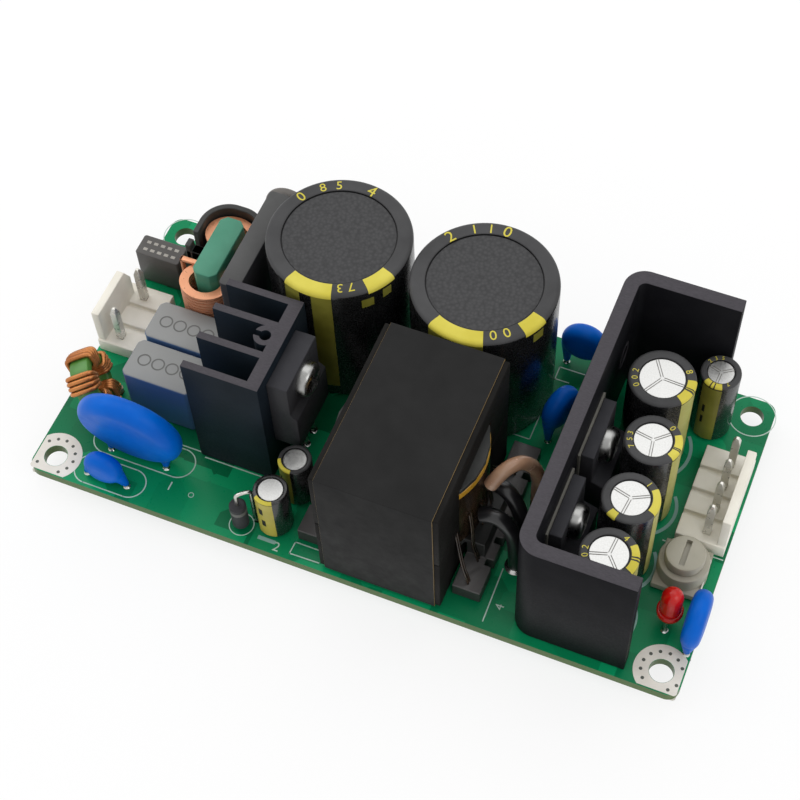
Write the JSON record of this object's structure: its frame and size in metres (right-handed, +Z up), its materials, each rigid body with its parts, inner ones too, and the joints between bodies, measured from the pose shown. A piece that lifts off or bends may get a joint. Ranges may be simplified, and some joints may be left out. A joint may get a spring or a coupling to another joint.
{
  "type": "open frame power supply",
  "caption": "Open frame switching power supply: a green board with bulk capacitors, a taped transformer, heatsinks, input and output headers and a turnable voltage trimmer.",
  "frame": {"origin": "centre of the four mounting holes, on the underside of the circuit board", "axes": "+X runs along the board from the mains header to the output header, +Y to the rear edge, +Z up through the parts"},
  "size_m": [0.1024, 0.0508, 0.03],
  "materials": {
    "sleeve_black": "black sleeve over copper wire",
    "fuse_black": "moulded black thermoplastic",
    "package_black": "moulded epoxy",
    "disc_blue": "dipped blue epoxy",
    "can_sleeve": "black shrunk sleeve with a yellow stripe",
    "anodised_black": "black anodised aluminium with sawn ends",
    "chip_ceramic": "black glazed alumina with tinned ends",
    "choke_green": "green coated ferrite",
    "flat_copper": "flat copper wire wound on edge",
    "holder_black": "moulded black plastic",
    "board_green": "green solder mask over glass laminate, silver pads and white print",
    "sleeve_clear": "clear sleeve over copper wire",
    "tinned_wire": "tinned wire with solder fillets",
    "tape_black": "black polyester tape",
    "film_grey": "grey box with resin filling",
    "led_red": "red tinted clear epoxy",
    "header_cream": "moulded cream nylon, slightly translucent",
    "tinned_posts": "bright tinned square posts",
    "plated_screw": "zinc plated steel",
    "pad_white": "pale heat conducting rubber",
    "thermistor_black": "dipped black silicone",
    "toroid_green": "green coated ferrite",
    "enamelled_copper": "copper wire under clear enamel",
    "ferrite_grey": "sintered ferrite",
    "trimmer_grey": "pale grey moulded plastic",
    "tape_yellow": "yellow polyester tape"
  },
  "bodies": {
    "board_assembly": {"black_sleeved_leads": "sleeve_black", "box_fuse": "fuse_black", "bridge_rectifier": "package_black", "bridging_capacitor": "disc_blue", "bulk_capacitor_left": "can_sleeve", "bulk_capacitor_right": "can_sleeve", "channel_heatsink": "anodised_black", "chip_resistors": "chip_ceramic", "choke_core": "choke_green", "choke_front_coil": "flat_copper", "choke_holder": "holder_black", "choke_rear_coil": "flat_copper", "circuit_board": "board_green", "clear_sleeved_lead": "sleeve_clear", "component_leads": "tinned_wire", "control_chip": "package_black", "core_tape": "tape_black", "diode_wire": "tinned_wire", "edge_disc_capacitor": "disc_blue", "film_capacitor_front": "film_grey", "film_capacitor_rear": "film_grey", "filter_capacitor": "can_sleeve", "finned_heatsink": "anodised_black", "front_disc_capacitor": "disc_blue", "heatsink_pins": "tinned_wire", "indicator_led": "led_red", "mains_header_housing": "header_cream", "mains_header_pins": "tinned_posts", "optocoupler": "package_black", "output_capacitor_centre": "can_sleeve", "output_capacitor_corner": "can_sleeve", "output_capacitor_front": "can_sleeve", "output_capacitor_rear": "can_sleeve", "output_header_housing": "header_cream", "output_header_pins": "tinned_posts", "output_rectifier_front": "package_black", "output_rectifier_rear": "package_black", "power_transistor": "package_black", "rectifier_screws": "plated_screw", "safety_capacitor": "disc_blue", "start_capacitor_front": "can_sleeve", "start_capacitor_rear": "can_sleeve", "thermal_pad_front": "pad_white", "thermal_pad_rear": "pad_white", "thermistor": "thermistor_black", "toroid_core": "toroid_green", "toroid_windings": "enamelled_copper", "transformer_bobbin": "holder_black", "transformer_lower_core": "ferrite_grey", "transformer_pins": "tinned_wire", "transformer_upper_core": "ferrite_grey", "transformer_winding": "enamelled_copper", "transistor_screw": "plated_screw", "trimmer_body": "trimmer_grey", "trimmer_terminals": "tinned_wire", "upright_diode": "package_black", "varistor": "disc_blue", "winding_tape": "tape_yellow"},
    "rotor": {"trimmer_rotor": "trimmer_grey"}
  },
  "joints": [
    {"name": "trimmer_turn", "type": "hinge", "parent": "board_assembly", "child": "rotor", "pos_m": [0.0456, -0.0067, 0.0062], "axis": [0, 0, 1], "range_deg": [-105, 105]}
  ]
}
